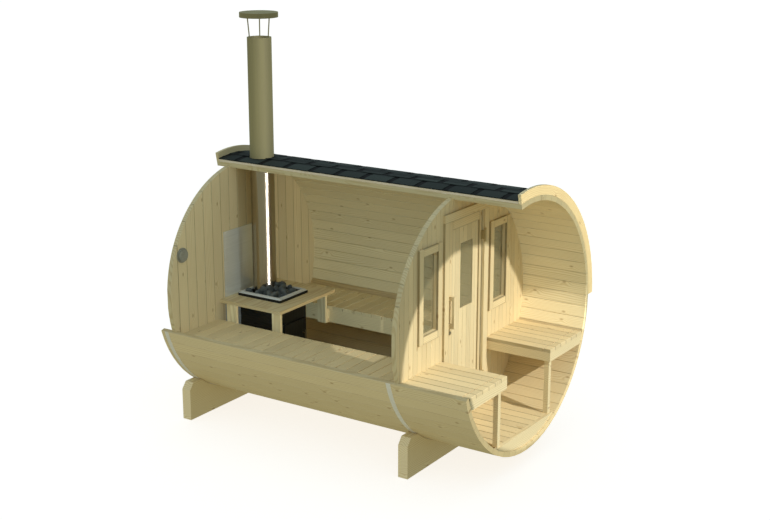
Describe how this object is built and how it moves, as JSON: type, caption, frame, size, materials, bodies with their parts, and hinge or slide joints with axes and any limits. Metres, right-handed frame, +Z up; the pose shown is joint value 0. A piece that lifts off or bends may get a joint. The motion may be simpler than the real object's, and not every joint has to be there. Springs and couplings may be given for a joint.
{
  "type": "cutaway barrel sauna",
  "caption": "Barrel sauna of spruce staves on cradles, shown with one side cut open, with porch, benches, wood stove and chimney.",
  "frame": {"origin": "on the ground, at the middle of the overall box", "axes": "+Y along the barrel from the porch to the back wall, +Z up, +X towards the closed side; the open side faces -X"},
  "size_m": [2.0513, 2.86, 3.33],
  "materials": {
    "spruce": "planed spruce, clear, matt",
    "spruce_trim": "planed spruce trim, clear, matt",
    "shingle": "bitumen shingle with slate granules",
    "hoop_steel": "galvanised band",
    "glass": "clear pane",
    "fitting_steel": "satin steel",
    "shield_steel": "rolled sheet, satin",
    "stove_black": "black stove paint, matt",
    "stove_rim": "brushed frame",
    "stone": "broken peridotite",
    "chimney_steel": "polished stainless"
  },
  "bodies": {
    "sauna": {"cradle_front": "spruce", "cradle_back": "spruce", "staves_top": "spruce", "staves_right": "spruce", "staves_bottom_right": "spruce", "staves_bottom_left": "spruce", "front_wall_left": "spruce", "front_wall_right": "spruce", "front_wall_header": "spruce", "front_wall_sill": "spruce", "back_wall": "spruce", "porch_floor": "spruce", "porch_bearers": "spruce", "room_floor": "spruce", "room_bearers": "spruce", "porch_bench_left": "spruce", "porch_bench_right": "spruce", "porch_bench_frame_left": "spruce", "porch_bench_frame_right": "spruce", "room_bench_left": "spruce", "room_bench_right": "spruce", "room_bench_frame_left": "spruce", "room_bench_frame_right": "spruce", "roof_deck": "spruce_trim", "roof_fascia_front": "spruce_trim", "roof_fascia_back": "spruce_trim", "door_frame_left": "spruce_trim", "door_frame_right": "spruce_trim", "door_frame_head": "spruce_trim", "window_casing_left": "spruce_trim", "window_casing_right": "spruce_trim", "guard_top": "spruce_trim", "guard_posts": "spruce_trim", "roof_shingles": "shingle", "hoop_front": "hoop_steel", "hoop_back": "hoop_steel", "window_pane_left": "glass", "window_pane_right": "glass", "door_hinge_frame": "fitting_steel", "heat_shield": "shield_steel", "vent": "shield_steel", "stove_body": "stove_black", "stove_lugs": "stove_black", "stove_top": "stove_rim", "stove_stones": "stone", "chimney_pipe": "chimney_steel", "chimney_cap": "chimney_steel", "chimney_rods": "chimney_steel"},
    "door": {"door_leaf": "spruce_trim", "door_pane": "glass", "door_pull": "spruce_trim", "door_lock": "fitting_steel", "door_hinges": "fitting_steel"},
    "stove_door": {"stove_door": "stove_black", "stove_handle": "fitting_steel"}
  },
  "joints": [
    {"name": "door_hinge", "type": "hinge", "parent": "sauna", "child": "door", "pos_m": [0.21375, -0.881, 1.113], "axis": [0, 0, 1], "range_deg": [0, 90]},
    {"name": "stove_door_hinge", "type": "hinge", "parent": "sauna", "child": "stove_door", "pos_m": [-0.18925, 0.799, 0.61], "axis": [0, 0, -1], "range_deg": [0, 100]}
  ]
}
